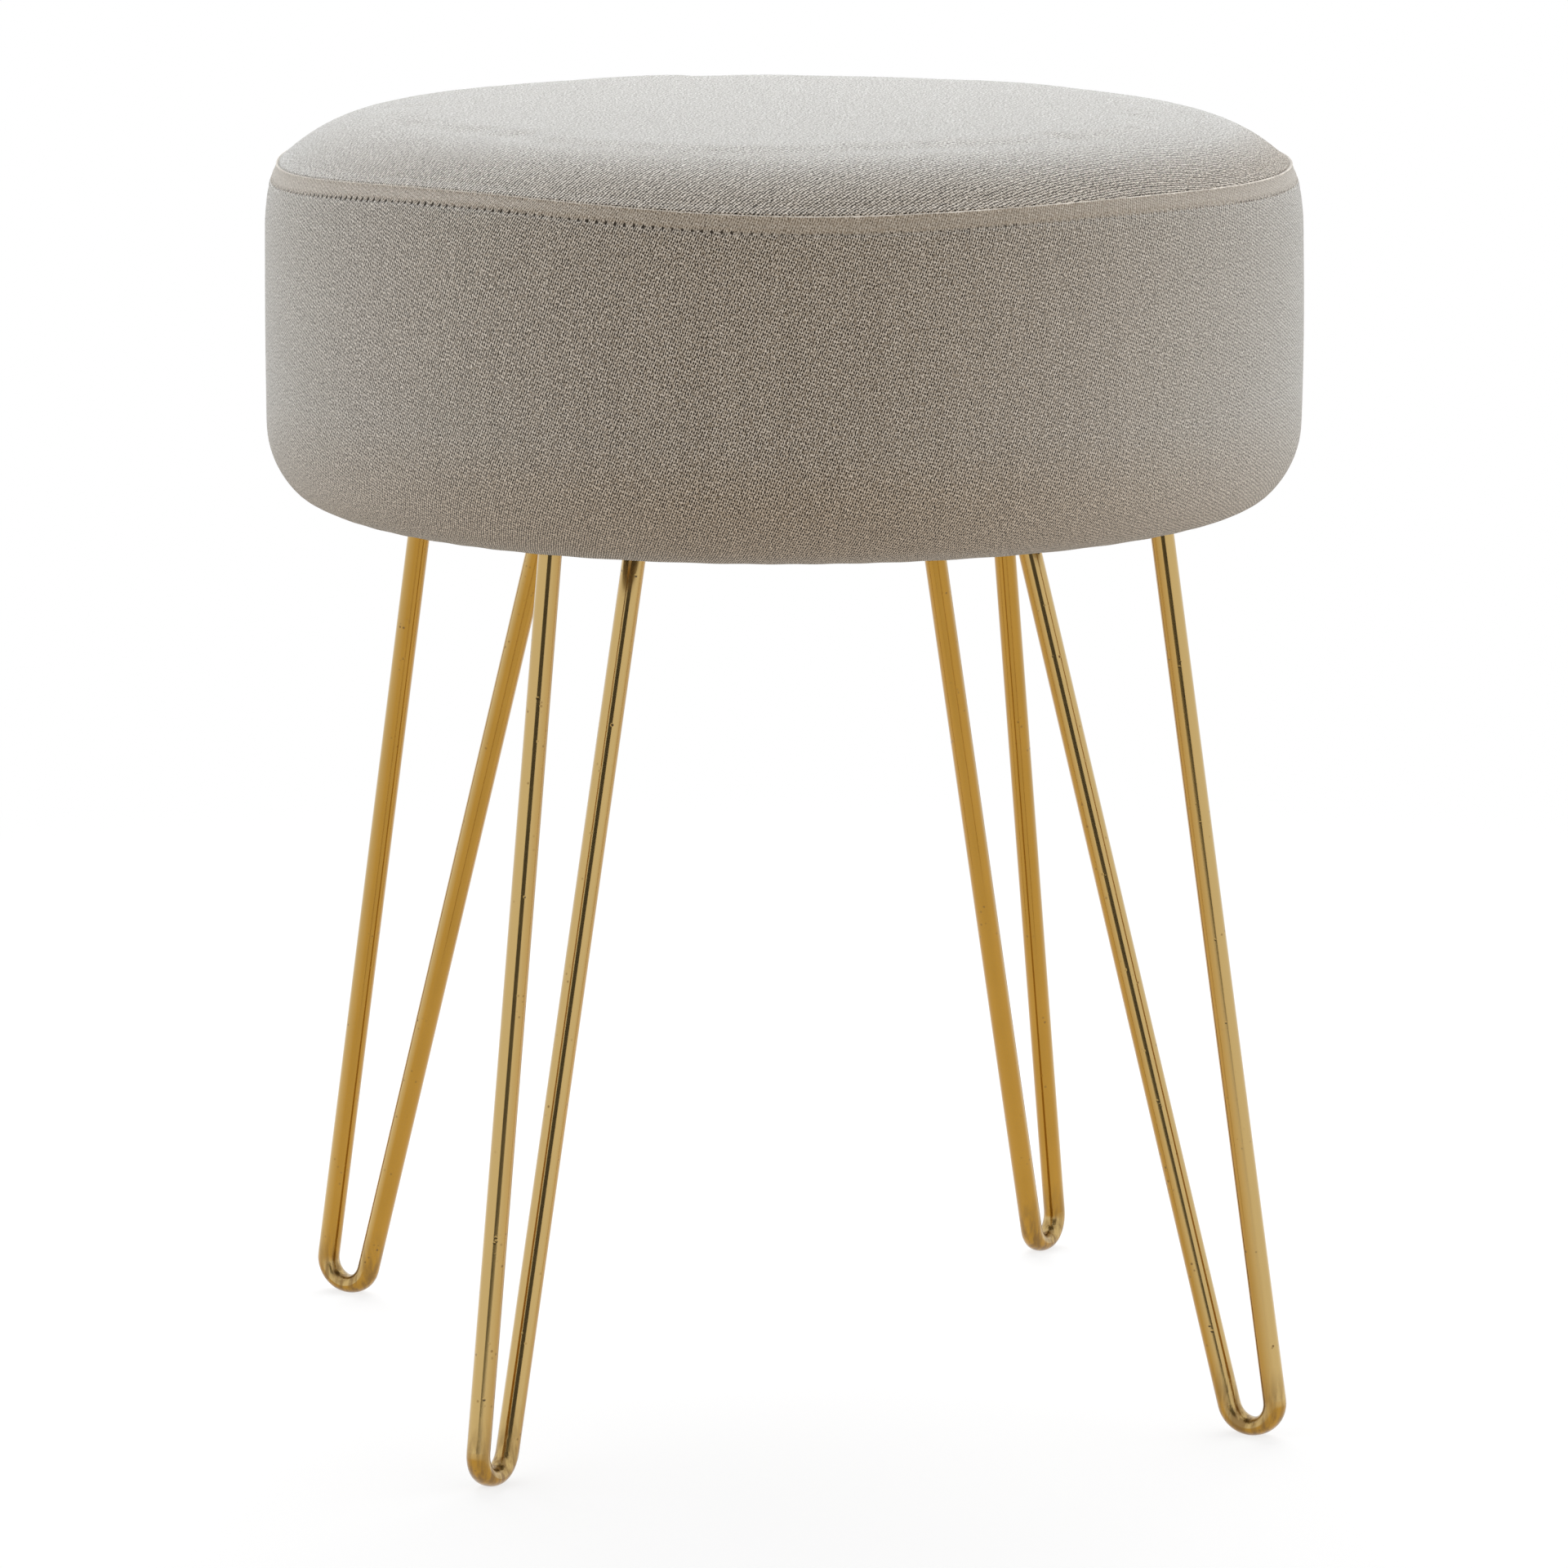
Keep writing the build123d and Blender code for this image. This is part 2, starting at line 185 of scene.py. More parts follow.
def arc(centre, radius, start, end):
    """Points of a circle in the half plane: centre + radius (cos a, sin a), with a in degrees."""
    a = np.radians(np.linspace(start, end, 200))
    return np.stack([centre[0] + radius * np.cos(a), centre[1] + radius * np.sin(a)], -1)


crown_line = np.concatenate([[(0.0, SEAT_TOP)], arc((0.136, 0.39161), 0.05439, 90.0, 43.43)])
side_line = np.concatenate([
    arc((0.12875, 0.408), 0.05125, 24.19, 0.0),
    arc((0.148, 0.339142), 0.032, 0.0, -45.0),
    arc((0.162142, 0.325), 0.012, -45.0, -90.0),
    arc((0.161542, 0.317), 0.004, -90.0, -180.0),
    [(0.157542, 0.3195), (0.072, 0.3195)],
])
bends = np.concatenate([crown_line, side_line[1:]])
reach = np.concatenate([[0.0], np.cumsum(np.hypot(*np.diff(bends, axis=0).T))])
seam_reach = np.hypot(*np.diff(crown_line, axis=0).T).sum()
steps = np.arange(0.0, reach[-1], OUTLINE_STEP)
outline = np.stack([np.interp(steps, reach, bends[:, k]) for k in (0, 1)], -1)
# The cloth turns over the seam and the lip in a small round, so the outline is averaged under a bell curve
ROUND_WIDTH = 7.0
ROUND_ENDS = 24
bell = np.exp(-0.5 * (np.arange(-ROUND_ENDS, ROUND_ENDS + 1) / ROUND_WIDTH) ** 2)
padded = np.pad(outline, ((ROUND_ENDS, ROUND_ENDS), (0, 0)), mode="reflect", reflect_type="odd")
outline = np.stack([np.convolve(padded[:, k], bell / bell.sum(), "valid") for k in (0, 1)], -1)
slope = np.gradient(outline, axis=0)
slope /= np.linalg.norm(slope, axis=1, keepdims=True)
turn = np.linspace(0.0, 2 * np.pi, COLUMNS, endpoint=False)

FRONT = np.radians(301.3)
SEAM_MEAN = -1.28
SEAM_WAVES = ((1.68, 1, 2.26), (0.72, 3, 0.86), (0.88, 4, 0.83), (1.10, 5, -0.41))
WANDER_FADE = 0.055


def seam_wander(angle):
    """How far the sewn seam strays down the cloth, in metres: a mean and a few slow waves round the seat,
    each A cos(n a - p) millimetres, with a counted from the seat's front."""
    waves = (size * np.cos(count * (angle - FRONT) - phase) for size, count, phase in SEAM_WAVES)
    return 0.001 * sum(waves, SEAM_MEAN)


def on_cover(angle, away, lift):
    """Point of the cover at an angle round the axis, a distance down from the seam (negative up the crown)
    and a lift off the cloth: p = (r cos a, r sin a, z), with (r, z) read off the half section, plus lift
    times normal. The seam's wander holds to a fifth of its fade from the seam, and is gone at six fifths."""
    fade = np.clip(1.2 - np.abs(away) / WANDER_FADE, 0.0, 1.0)
    along = seam_reach + away + seam_wander(angle) * fade * fade * (3 - 2 * fade)
    spot = [np.interp(along, steps, outline[:, k]) for k in (0, 1)]
    run = [np.interp(along, steps, slope[:, k]) for k in (0, 1)]
    radius = spot[0] - lift * run[1]
    return np.stack([radius * np.cos(angle), radius * np.sin(angle), spot[1] + lift * run[0]], -1)


def set_down(name, data):
    """Puts a mesh, lamp or camera into the scene."""
    piece = bpy.data.objects.new(name, data)
    bpy.context.scene.collection.objects.link(piece)
    return piece


def wrapped(name, points, uv, middle=None):
    """Mesh of rows of points, each row closed round the axis: quad (i, j) joins rows i, i + 1 and columns
    j, j + 1. uv has one column more than points, so that it needn't wrap. A middle point closes the first
    row with a fan."""
    rows, columns = points.shape[:2]
    i, j = np.meshgrid(np.arange(rows - 1), np.arange(columns), indexing="ij")
    k = (j + 1) % columns
    below = i * columns
    above = (i + 1) * columns
    faces = np.stack([below + j, above + j, above + k, below + k], -1).reshape(-1, 4).tolist()
    marks = np.stack([uv[i, j], uv[i + 1, j], uv[i + 1, j + 1], uv[i, j + 1]], -2).reshape(-1, 2)
    vertices = points.reshape(-1, 3)
    if middle is not None:
        ring = np.arange(columns)
        fan = np.stack([np.full(columns, rows * columns), ring, (ring + 1) % columns], -1)
        faces += fan.tolist()
        spread = np.stack([np.broadcast_to(uv[0].mean(0), (columns, 2)), uv[0, :-1], uv[0, 1:]], 1)
        marks = np.concatenate([marks, spread.reshape(-1, 2)])
        vertices = np.concatenate([vertices, [middle]])
    mesh = bpy.data.meshes.new(name)
    mesh.from_pydata(vertices, [], faces)
    mesh.uv_layers.new(name="UVMap").data.foreach_set("uv", marks.ravel())
    mesh.shade_smooth()
    return set_down(name, mesh)


# The stuffed cloth is let out by a cloth simulation: it starts a little slack inside its resting shape, is
# held along the seam, the topstitch row and the drawn-in edge, and the stuffing presses it out between them.
STITCH_ROW = 0.0064
DRAWN_IN = 0.122
COARSE = 6
SLACK = 0.0010
MOST_SWELL = 0.0008
PROBE = 0.001
LAST_FRAME = 20
sim_rows = np.concatenate([-np.linspace(0.174, 0.004, 34), np.linspace(0.0, 0.131, 40)])
sim_turn = np.linspace(0.0, 2 * np.pi, COLUMNS // COARSE, endpoint=False)
swell = np.zeros((len(sim_rows), len(sim_turn)))
at_seam = np.abs(sim_rows) < 0.0001
at_stitches = np.abs(sim_rows - STITCH_ROW) < 0.0020
held = at_seam | at_stitches | (sim_rows > DRAWN_IN)
ripple = 1.0 + 0.5 * np.sin(5 * sim_turn + 40 * sim_rows[:, None])
start = on_cover(sim_turn[None], sim_rows[:, None], np.where(held, 0.0, -SLACK)[:, None] * ripple)
flat_uv = np.zeros((len(sim_rows), len(sim_turn) + 1, 2))
slack_cloth = wrapped("slack_cloth", start, flat_uv, middle=(0.0, 0.0, SEAT_TOP - SLACK))
pins = slack_cloth.vertex_groups.new(name="held")
pins.add([int(v) for v in np.flatnonzero(np.repeat(held, len(sim_turn)))], 1.0, "REPLACE")
cloth = slack_cloth.modifiers.new("cloth", "CLOTH")
cloth.settings.quality = 4
cloth.settings.mass = 0.25
cloth.settings.tension_stiffness = 25.0
cloth.settings.compression_stiffness = 25.0
cloth.settings.shear_stiffness = 10.0
cloth.settings.bending_stiffness = 0.6
cloth.settings.use_pressure = True
cloth.settings.uniform_pressure_force = 4.0
cloth.settings.vertex_group_mass = "held"
cloth.settings.effector_weights.gravity = 0.0
cloth.point_cache.frame_start = 1
cloth.point_cache.frame_end = LAST_FRAME
for step in range(1, LAST_FRAME + 1):
    bpy.context.scene.frame_set(step)
settled = slack_cloth.evaluated_get(bpy.context.evaluated_depsgraph_get()).to_mesh()
moved = np.empty(3 * len(settled.vertices))
settled.vertices.foreach_get("co", moved)
moved = moved.reshape(-1, 3)[:-1].reshape(start.shape)
rest = on_cover(sim_turn[None], sim_rows[:, None], 0.0)
outwards = on_cover(sim_turn[None], sim_rows[:, None], PROBE) - rest
swell = MOST_SWELL * np.tanh(np.einsum("ijk,ijk->ij", moved - rest, outwards) / PROBE / MOST_SWELL)
bpy.data.objects.remove(slack_cloth)
bpy.context.scene.frame_set(1)


def swelling(away):
    """Simulated lift on rows at given distances from the seam: read between the simulated rows, and rounded
    between the simulated columns by three running means."""
    between = np.stack([np.interp(away, sim_rows, line) for line in np.eye(len(sim_rows))], -1)
    lift = np.repeat(between @ swell, COARSE, axis=1)
    for _ in range(3):
        lift = sum(np.roll(lift, shift, axis=1) for shift in range(-COARSE // 2, COARSE // 2)) / COARSE
    return lift


# Top panel: its edge is turned down into the seam, and it lies in a soft round over the wadding, a little
# lower on one side. Its flat map is in metres, turned so that the twill runs as it was cut.
def hump(away, middle, width):
    """Bell of height one: exp(-((away - middle) / width)^2)."""
    return np.exp(-(((away - middle) / width) ** 2))


LOW_SIDE = np.radians(31.3)
TWILL_TURN = np.radians(97.1)
rows = -np.concatenate([np.linspace(0.177, 0.040, 30)[:-1], np.geomspace(0.040, 0.0002, 30), [0.0]])[:, None]
crown_fill = 0.0006 * hump(rows, -0.185, 0.110)
lean = np.cos(turn - LOW_SIDE)[None] * hump(rows, -0.035, 0.030)
groove = 0.0004 * hump(rows, 0.0, 0.00035)
turned_down = 0.0002 * hump(rows, 0.0, 0.0030)
lift = swelling(rows[:, 0]) + crown_fill - 0.0006 * lean - groove - turned_down
panel_points = on_cover(turn[None], rows, lift)
spread = seam_reach + rows
full_turn = np.append(turn, 2 * np.pi)
panel_uv = np.stack([spread * np.cos(full_turn - TWILL_TURN), spread * np.sin(full_turn - TWILL_TURN)], -1)
top_cloth = wrapped("top_cloth", panel_points, panel_uv, middle=(0.0, 0.0, SEAT_TOP + float(lift[0].mean())))

# Side band: a folded edge stands up at the seam as a fine ridge, the strip under it is drawn tight and
# bulges, and the topstitch row pulls a dimple at each needle hole. Under the seat the spare cloth gathers in
# small pleats, which end under the dust cover's edge.
SEAT_RADIUS = 0.18
PLEATS = 58
PLEATS_FROM = 0.121
PLEATS_TO = 0.1385
rows = np.concatenate([
    [0.0, 0.00015, 0.0003, 0.0005, 0.0007, 0.0009, 0.0012, 0.0016, 0.0021, 0.0028, 0.0036, 0.0044, 0.0050],
    np.arange(0.0054, 0.0078, 0.0004),
    np.linspace(0.0082, 0.022, 9),
    np.linspace(0.025, 0.085, 19),
    np.linspace(0.088, 0.1325, 22),
    [0.1345, 0.137, 0.140, 0.146, 0.165],
    [reach[-1] - seam_reach - 0.0005],
])[:, None]
dimple = 0.62 + 0.38 * np.cos(STITCHES * turn)[None]
pleat = np.cos(PLEATS * turn + 2.0 * np.sin(7 * turn))[None] * np.clip((rows - PLEATS_FROM) / 0.010, 0.0, 1.0)
tucked_in = 0.0004 * hump(rows, 0.0, 0.00018)
ridge = 0.00030 * hump(rows, 0.0006, 0.0005)
strip_bulge = 0.00022 * hump(rows, 0.0036, 0.0018)
pulled_in = 0.00080 * hump(rows, STITCH_ROW, 0.0010) * dimple
lower_bulge = 0.00025 * hump(rows, 0.0110, 0.0030)
side_fill = 0.00070 * hump(rows, 0.0620, 0.0480)
gathers = 0.00022 * pleat * (rows < PLEATS_TO)
lift = swelling(rows[:, 0]) - tucked_in + ridge + strip_bulge - pulled_in + lower_bulge + side_fill + gathers
band_points = on_cover(turn[None], rows, lift)
band_points[0] = panel_points[-1]
band_uv = np.stack(np.broadcast_arrays(SEAT_RADIUS * full_turn[None], -rows), -1)
side_cloth = wrapped("side_cloth", band_points, band_uv)


# Topstitching: one thread of the cloth's own colour, lying as short humps between the needle holes.
# Each stitch fills four fifths of its pitch, and its ends go down into the cloth.
def rods(name, points):
    """Mesh of many short rods: points[k, i, j] is point j round ring i of rod k. Quads join the rings, and
    the first and last ring of each rod are closed."""
    count, rings, sides = points.shape[:3]
    k, i, j = np.meshgrid(np.arange(count), np.arange(rings - 1), np.arange(sides), indexing="ij")
    ring = (k * rings + i) * sides
    after = (j + 1) % sides
    quads = np.stack([ring + j, ring + sides + j, ring + sides + after, ring + after], -1).reshape(-1, 4)
    first = np.arange(count)[:, None] * rings * sides + np.arange(sides)[None]
    last = (first + (rings - 1) * sides)[:, ::-1]
    mesh = bpy.data.meshes.new(name)
    mesh.from_pydata(points.reshape(-1, 3), [], quads.tolist() + first.tolist() + last.tolist())
    return set_down(name, mesh)


THREAD_RADIUS = 0.00027
STITCH_RINGS = 5
STITCH_SIDES = 6
stitch_span = np.linspace(-0.40, 0.40, STITCH_RINGS)[None, :, None]
stitch_turn = (np.arange(STITCHES)[:, None, None] + 0.5 + stitch_span) * 2 * np.pi / STITCHES
bow = np.linspace(-1.0, 1.0, STITCH_RINGS)[None, :, None]
roundness = np.linspace(0.0, 2 * np.pi, STITCH_SIDES, endpoint=False)[None, None]
thread = THREAD_RADIUS * np.sqrt(1.02 - bow**2)
sunk_ends = -0.00030 - 0.00045 * bow**2
stitch_points = on_cover(
    stitch_turn,
    STITCH_ROW + thread * np.cos(roundness),
    sunk_ends + thread * np.sin(roundness) * np.ones_like(stitch_turn),
)
topstitching = rods("topstitching", stitch_points)
topstitching.data.shade_smooth()

# Weave of the cloth, shared by panel and band. Two plane waves a and b cross it, with c = a + b. The gaps
# between threads are a lattice, 0.48 (cos a + 0.62 cos b + 0.55 cos c), which Twill turns to slanting ribs,
# 0.67 (cos c + 0.22 cos(c / 2)). The waves stray, gaps differ in depth, and loose fibres cover them.
WAVE_A = (6805.0, -2985.0, 0.0)
WAVE_B = (-8859.0, -2412.0, 0.0)
STRAY = 5.0
weave = bpy.data.node_groups.new("woven_cloth", "ShaderNodeTree")
weave.interface.new_socket("Cloth", in_out="INPUT", socket_type="NodeSocketVector")
weave.interface.new_socket("Depth", in_out="INPUT", socket_type="NodeSocketFloat")
weave.interface.new_socket("Twill", in_out="INPUT", socket_type="NodeSocketFloat")
weave.interface.new_socket("Color", in_out="OUTPUT", socket_type="NodeSocketColor")
weave.interface.new_socket("Height", in_out="OUTPUT", socket_type="NodeSocketFloat")
inlet = weave.nodes.new("NodeGroupInput")
flat_cloth = inlet.outputs["Cloth"]
depth_in = inlet.outputs["Depth"]
twill_in = inlet.outputs["Twill"]


def calc(tree, operation, first, second=0.0):
    """Math node; returns its output."""
    return put(tree, "ShaderNodeMath", {0: first, 1: second}, operation=operation).outputs[0]


def plus(tree, first, second, weight):
    """first + weight times second."""
    return calc(tree, "ADD", first, calc(tree, "MULTIPLY", second, weight))


def swing(tree, value, amount):
    """Noise carried to either side of nought: amount times (value - 0.5)."""
    return calc(tree, "MULTIPLY", calc(tree, "SUBTRACT", value, 0.5), amount)


def dotted(tree, vector, direction):
    """Vector times a fixed direction; returns the value."""
    node = put(tree, "ShaderNodeVectorMath", {0: vector, 1: direction}, operation="DOT_PRODUCT")
    return node.outputs["Value"]


jitter = put(weave, "ShaderNodeTexNoise", {"Vector": flat_cloth, "Scale": 800.0, "Detail": 1.0})
hues = put(weave, "ShaderNodeSeparateColor", {"Color": jitter.outputs["Color"]})
slow = swing(weave, noise(weave, flat_cloth, 70.0, detail=3.0), STRAY)
stray_a = calc(weave, "ADD", slow, swing(weave, hues.outputs["Red"], STRAY))
stray_b = calc(weave, "SUBTRACT", swing(weave, hues.outputs["Green"], STRAY), slow)
wave_a = calc(weave, "ADD", dotted(weave, flat_cloth, WAVE_A), stray_a)
wave_b = calc(weave, "ADD", dotted(weave, flat_cloth, WAVE_B), stray_b)
wave_c = calc(weave, "ADD", wave_a, wave_b)
cos_a, cos_b, cos_c = (calc(weave, "COSINE", wave) for wave in (wave_a, wave_b, wave_c))
cos_half = calc(weave, "COSINE", calc(weave, "MULTIPLY", wave_c, 0.5))
crossed = plus(weave, plus(weave, cos_a, cos_b, 0.62), cos_c, 0.55)
ribs = plus(weave, cos_c, cos_half, 0.22)
plain_share = calc(weave, "MULTIPLY", calc(weave, "SUBTRACT", 1.0, twill_in), 0.48)
twill_share = calc(weave, "MULTIPLY", twill_in, 0.67)
lattice = calc(weave, "MULTIPLY", crossed, plain_share)
gap = calc(weave, "ADD", lattice, calc(weave, "MULTIPLY", ribs, twill_share))
deeper = calc(weave, "MULTIPLY", gap, ramp(weave, hues.outputs["Blue"], 0.3, 0.7, 0.5, 1.5))
fluff = swing(weave, noise(weave, flat_cloth, 1300.0, detail=2.0), 2.2)
shade = calc(weave, "MULTIPLY", calc(weave, "ADD", deeper, fluff), depth_in)
slub = swing(weave, noise(weave, stretched(weave, flat_cloth, (330.0, 9.0, 1.0)), 1.0, detail=2.0), 0.11)
level = calc(weave, "ADD", calc(weave, "MULTIPLY", depth_in, 0.08), calc(weave, "ADD", slub, 0.36))
darkness = calc(weave, "ADD", calc(weave, "MULTIPLY", shade, 0.72), level)
tone = put(weave, "ShaderNodeValToRGB", {"Fac": darkness})
tone.color_ramp.elements[0].position = 0.05
tone.color_ramp.elements[0].color = (0.75, 0.675, 0.585, 1)
tone.color_ramp.elements[1].position = 0.85
tone.color_ramp.elements[1].color = (0.020, 0.014, 0.009, 1)
middle_tone = tone.color_ramp.elements.new(0.42)
middle_tone.color = (0.310, 0.251, 0.187, 1)
feed(weave, weave.nodes.new("NodeGroupOutput"), {
    "Color": tone.outputs["Color"],
    "Height": calc(weave, "SUBTRACT", 1.0, shade),
})


def cloth_of(name, twill):
    """Cloth material on a piece's flat map, still without its colour. Returns it with its tree, its shader,
    the flat map and the weave."""
    material, tree, surface, place = material_of(name, "UV")
    threads = put(tree, "ShaderNodeGroup", {"Cloth": place, "Twill": twill}, node_tree=weave)
    feed(tree, surface, {
        "Normal": relief(tree, threads.outputs["Height"], strength=0.9, depth=0.0003),
        "Roughness": 0.92,
        "Specular IOR Level": 0.15,
        "Sheen Weight": 0.08,
        "Sheen Roughness": 0.45,
    })
    return material, tree, surface, place, threads


def with_painted_sheen(tree, threads, ground, sheen_kept):
    """Colour of the cloth with a painted sheen: the ground, painted lighter at a glancing look by a pale
    colour that follows the threads' height, as far as the sheen is kept."""
    glance = put(tree, "ShaderNodeLayerWeight", {"Blend": 0.5})
    # Painted sheen: a pale colour mixed into the base colour at a glancing look.
    painted_sheen_share = calc(tree, "MULTIPLY", glance.outputs["Facing"], 0.90)
    raised = calc(tree, "MULTIPLY", threads.outputs["Height"], 0.5)
    painted_sheen_colour = mix(tree, raised, (0.20, 0.186, 0.166), (0.965, 0.985, 0.985))
    return mix(tree, calc(tree, "MULTIPLY", painted_sheen_share, sheen_kept), ground, painted_sheen_colour)


# On the panel the painted sheen is cut back where the edge turns into the seam, which paints shade along the
# edge, more on one side than the other. The side vector times the flat map goes from -1 on one side of the
# panel to 1 on the other.
EDGE_FROM = 0.156
EDGE_TO = 0.175
EDGE_SHADE_SIDE = (2.33, -5.18, 0.0)
panel_cloth, tree, surface, place, threads = cloth_of("cover_cloth_top", twill=0.52)
threads.inputs["Depth"].default_value = 1.2
from_middle = put(tree, "ShaderNodeVectorMath", {0: place}, operation="LENGTH").outputs["Value"]
near_edge = ramp(tree, from_middle, EDGE_FROM, EDGE_TO)
edge_shade_by_side = calc(tree, "ADD", calc(tree, "MULTIPLY", dotted(tree, place, EDGE_SHADE_SIDE), 0.36), 0.28)
# Painted shade: less sheen near the panel's edge, more on one side.
sheen_kept = calc(tree, "SUBTRACT", 1.0, calc(tree, "MULTIPLY", near_edge, edge_shade_by_side))
feed(tree, surface, {"Base Color": with_painted_sheen(tree, threads, threads.outputs["Color"], sheen_kept)})
top_cloth.data.materials.append(panel_cloth)


# On the band the strip between seam and topstitching is smoother, its folded edge is frayed to a light line,
# and each needle hole is painted as a small dark dot of shade, pulled open where the cloth is tight. The roll
# under the side has painted shade: it is browner and keeps less of the painted sheen. Distances below the
# seam are in millimetres.
def part_of(tree, vector, axis):
    """One axis of a vector."""
    return put(tree, "ShaderNodeSeparateXYZ", {"Vector": vector}).outputs[axis]


STRIP_FROM = 5.6
STRIP_TO = 7.2
FOLD = 0.5
ROLL_FROM = 76.0
ROLL_TO = 114.0
TIGHT_TURN = 8.77
band_cloth, tree, surface, place, threads = cloth_of("cover_cloth_side", twill=0.0)
across = part_of(tree, place, "X")
down = calc(tree, "MULTIPLY", part_of(tree, place, "Y"), -1000.0)
two_turns = calc(tree, "MULTIPLY", across, 2 / SEAT_RADIUS)
tight = calc(tree, "COSINE", calc(tree, "SUBTRACT", two_turns, TIGHT_TURN))
smoothed = ramp(tree, down, STRIP_FROM, STRIP_TO, 0.42, 1.0)
weave_depth = calc(tree, "MULTIPLY", smoothed, plus(tree, 0.92, tight, 0.13))
feed(tree, threads, {"Depth": weave_depth})

# Painted shade on the roll under the side: a browner colour and less painted sheen towards the bottom.
roll_shade = ramp(tree, down, ROLL_FROM, ROLL_TO)
sheen_kept = plus(tree, ramp(tree, down, STRIP_FROM, STRIP_TO, 0.68, 1.0), roll_shade, -0.35)
ground = mix(tree, roll_shade, threads.outputs["Color"], (0.98, 0.885, 0.77), blend_type="MULTIPLY")
pale = with_painted_sheen(tree, threads, ground, sheen_kept)

worn = ramp(tree, noise(tree, place, 55.0, detail=2.0), 0.38, 0.60, 0.35, 1.0)
off_fold = calc(tree, "ABSOLUTE", calc(tree, "SUBTRACT", down, FOLD))
fringe = calc(tree, "SUBTRACT", noise(tree, place, 420.0, detail=3.0), off_fold)
frayed = calc(tree, "MULTIPLY", ramp(tree, fringe, 0.16, 0.40, 0.0, 0.75), worn)
lined = calc(tree, "MULTIPLY", frayed, plus(tree, 0.65, tight, -0.35))
edged = mix(tree, lined, pale, (0.95, 0.885, 0.80))

# Painted shade in each needle hole: a small dark dot.
beat = calc(tree, "COSINE", calc(tree, "MULTIPLY", across, STITCHES / SEAT_RADIUS))
off_row = calc(tree, "ABSOLUTE", calc(tree, "SUBTRACT", down, 1000 * STITCH_ROW))
opened = ramp(tree, noise(tree, place, 34.0, detail=4.0), 0.36, 0.60, -0.15, 0.35)
dot = plus(tree, calc(tree, "MULTIPLY", beat, 1.8), off_row, -1.1)
tension = plus(tree, opened, tight, 0.40)
hole_shade = ramp(tree, calc(tree, "ADD", dot, tension), 1.15, 1.6, 0.0, 0.95)
feed(tree, surface, {"Base Color": mix(tree, hole_shade, edged, (0.030, 0.022, 0.015))})
side_cloth.data.materials.append(band_cloth)

thread_material, tree, surface, place = material_of("sewing_thread")
twist = noise(tree, place, 1500.0, detail=2.0)
feed(tree, surface, {
    "Base Color": mix(tree, twist, (0.20, 0.165, 0.125), (0.42, 0.37, 0.31)),
    "Roughness": 0.7,
})
topstitching.data.materials.append(thread_material)

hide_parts("top_panel")
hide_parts("side_band")
for piece in (top_cloth, side_cloth, topstitching):
    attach(piece, "root")


# Dust cover: a disc of black spun fabric stapled over the drawn-in edge of the band, with the leg plates
# bolted on through it. It lies flat under the base board and sinks a little inside the band's opening.
DUST_LEVEL = 0.31912
DUST_COLUMNS = 240
BAND_OPENING = 0.0715
dust_rows = np.array([
    0.002, 0.02, 0.04, 0.055, 0.066, 0.0695, 0.072, 0.085, 0.10, 0.115, 0.13, 0.145, 0.1525, 0.1566,
])[:, None]
dust_turn = np.linspace(0.0, 2 * np.pi, DUST_COLUMNS, endpoint=False)
dust_full_turn = np.append(dust_turn, 2 * np.pi)
sunk = 0.0012 * np.clip((BAND_OPENING - dust_rows) / 0.004, 0.0, 1.0)
rippled = 0.00010 * np.sin(24 * dust_turn)[None] * (dust_rows / 0.157) ** 3
dust_z = DUST_LEVEL + sunk + rippled
dust_x = dust_rows * np.cos(dust_turn)
dust_y = dust_rows * np.sin(dust_turn)
dust_points = np.stack(np.broadcast_arrays(dust_x, dust_y, dust_z), -1)[:, ::-1]
dust_uv = np.stack([dust_rows * np.cos(dust_full_turn), -dust_rows * np.sin(dust_full_turn)], -1)
dust_sheet = wrapped("dust_sheet", dust_points, dust_uv, middle=(0.0, 0.0, float(dust_z[0].mean())))
spun, tree, surface, place = material_of("spun_fabric")
fibres = noise(tree, place, 1400.0, detail=4.0, distortion=3.0)
bonded = calc(tree, "MULTIPLY", cells(tree, place, 700.0), fibres)
feed(tree, surface, {
    "Base Color": mix(tree, bonded, (0.010, 0.010, 0.011), (0.055, 0.055, 0.058)),
    "Normal": relief(tree, bonded, strength=0.4, depth=0.0002),
    "Roughness": 0.8,
})
dust_sheet.data.materials.append(spun)
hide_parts("dust_cover")
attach(dust_sheet, "root")

# Staples that hold the dust cover: flat wire, 10 mm across, shot in round its edge between the leg plates.
# A leg plate stands at each quarter turn, so the staples keep 12 degrees away from these.
STAPLE_RADIUS = 0.1490
STAPLE_LEVEL = 0.3189
STAPLE_STEP = 6
PLATE_HALF = 12
staple_degrees = [at for at in range(0, 360, STAPLE_STEP) if PLATE_HALF <= at % 90 <= 90 - PLATE_HALF]
staple_turn = np.radians(staple_degrees)[:, None, None]
wire = np.array([(-5.0, 1.6), (-5.0, -0.5), (5.0, -0.5), (5.0, 1.6)])[None, :, None] / 1000
section = np.array([(-0.6, 0.25), (0.6, 0.25), (0.6, -0.25), (-0.6, -0.25)])[None, None] / 1000
mitre = np.array([(-1, 0), (-1, -1), (1, -1), (1, 0)])[None, :, None]
staple_out = STAPLE_RADIUS + section[..., 0] + 0 * staple_turn
staple_side = wire[..., 0] + section[..., 1] * mitre[..., 0] + 0 * staple_turn
staple_up = STAPLE_LEVEL + wire[..., 1] + section[..., 1] * mitre[..., 1] + 0 * staple_turn
staple_points = np.stack([
    staple_out * np.cos(staple_turn) - staple_side * np.sin(staple_turn),
    staple_out * np.sin(staple_turn) + staple_side * np.cos(staple_turn),
    staple_up,
], -1)
staples = rods("staples", staple_points)
staples.data.materials.append(zinc)
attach(staples, "root")
